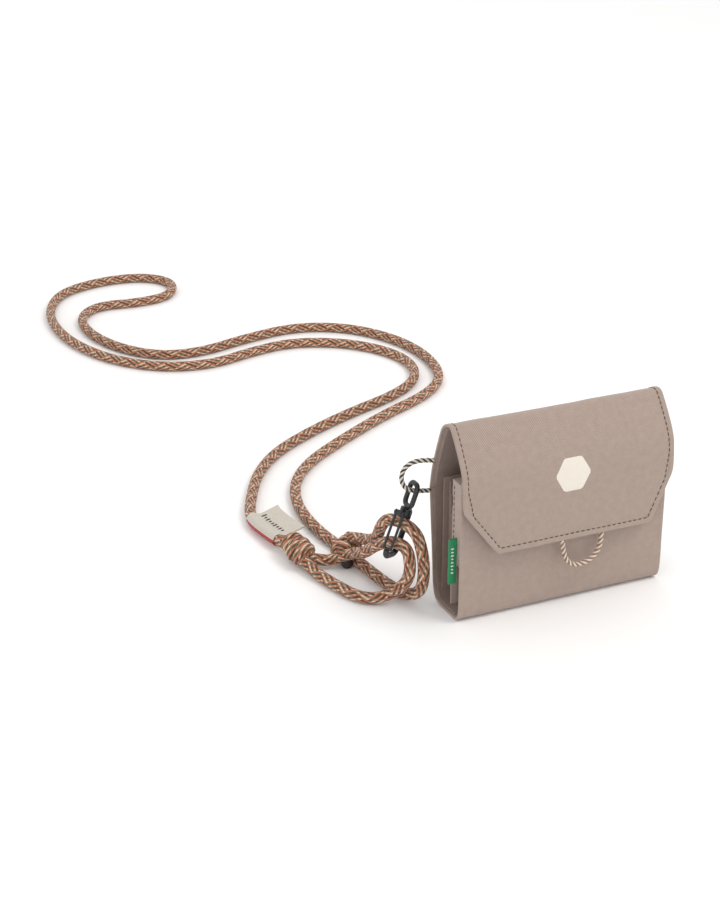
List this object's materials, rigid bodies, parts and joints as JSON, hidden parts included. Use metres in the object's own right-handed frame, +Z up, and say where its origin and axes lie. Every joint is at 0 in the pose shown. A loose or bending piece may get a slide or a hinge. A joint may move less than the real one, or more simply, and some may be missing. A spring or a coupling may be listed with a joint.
{
  "type": "neck pouch wallet",
  "caption": "Small trifold fabric wallet with a closing flap, zipped coin pocket, card slots and banknote pocket, on a braided neck cord with a swivel snap hook.",
  "frame": {"origin": "middle of the flat bottom fold that the wallet stands on", "axes": "+X along the wallet to the user's right as they face the flap, +Y from the flap to the back, +Z up"},
  "size_m": [0.2002, 0.5219, 0.0953],
  "materials": {
    "shell_fabric": "matte twill",
    "lining_fabric": "matte plain weave",
    "binding_tape": "matte woven tape",
    "hook_and_loop": "matte pile",
    "zip_tape": "matte woven tape",
    "zip_teeth": "moulded",
    "zip_metal": "satin black",
    "clip_metal": "satin black",
    "neck_cord": "braided sheath",
    "thin_cord": "two colour twist",
    "label_green": "woven satin",
    "label_cream": "woven satin",
    "emblem_print": "printed film"
  },
  "bodies": {
    "root": {"back_shell": "shell_fabric", "back_lining": "lining_fabric", "banknote_divider": "lining_fabric", "card_backing": "lining_fabric", "card_slot_1": "lining_fabric", "card_slot_2": "lining_fabric", "card_slot_3": "lining_fabric", "card_binding": "binding_tape", "side_loop": "thin_cord", "hook_body": "clip_metal", "gate_pin": "clip_metal", "neck_cord": "neck_cord", "neck_cord_tail": "neck_cord", "neck_cord_eye": "neck_cord", "eye_knot": "neck_cord", "tail_knot": "neck_cord", "cord_label": "label_cream"},
    "flap": {"flap_shell": "shell_fabric", "flap_lining": "lining_fabric", "hook_tape": "hook_and_loop", "emblem": "emblem_print", "pull_loop": "thin_cord"},
    "front_panel": {"front_shell": "shell_fabric", "loop_tape": "hook_and_loop", "pocket_gusset": "shell_fabric", "pocket_wall_lower": "shell_fabric", "pocket_wall_upper": "shell_fabric", "zip_tape_lower": "zip_tape", "zip_tape_upper": "zip_tape", "zip_teeth_lower": "zip_teeth", "zip_teeth_upper": "zip_teeth", "zip_stop_start": "zip_teeth", "zip_stop_end": "zip_teeth", "side_label": "label_green"},
    "slider": {"zip_slider": "zip_metal"},
    "slider_pull": {"zip_pull": "zip_metal"},
    "gate": {"wire_gate": "clip_metal"},
    "eye": {"swivel_eye": "clip_metal"}
  },
  "joints": [
    {"name": "flap_fold", "type": "hinge", "parent": "root", "child": "flap", "pos_m": [0, 0.0044, 0.0915], "axis": [-1, 0, 0], "range_deg": [0, 200]},
    {"name": "front_fold", "type": "hinge", "parent": "root", "child": "front_panel", "pos_m": [0, -0.0125, 0.0045], "axis": [1, 0, 0], "range_deg": [0, 80]},
    {"name": "zip_slide", "type": "slide", "parent": "front_panel", "child": "slider", "axis": [-1, 0, 0], "range_m": [0, 0.078]},
    {"name": "pull_swing", "type": "hinge", "parent": "slider", "child": "slider_pull", "pos_m": [0.0393, -0.0039, 0.0596], "axis": [1, 0, 0], "range_deg": [0, 80]},
    {"name": "gate_press", "type": "hinge", "parent": "root", "child": "gate", "pos_m": [-0.07154, 0.01163, 0.04849], "axis": [0.5418, -0.8173, -0.1963], "range_deg": [0, 7], "stiffness_Nm_per_rad": 0.01, "springref_deg": -11.46},
    {"name": "eye_swivel", "type": "hinge", "parent": "root", "child": "eye", "pos_m": [-0.0618, 0.015, 0.06134], "axis": [-0.3407, 0, -0.9402], "range_deg": [-25, 25]}
  ],
  "couplings": [
    {"joint": "front_fold", "follows": "flap_fold", "ratio": 0.4}
  ]
}
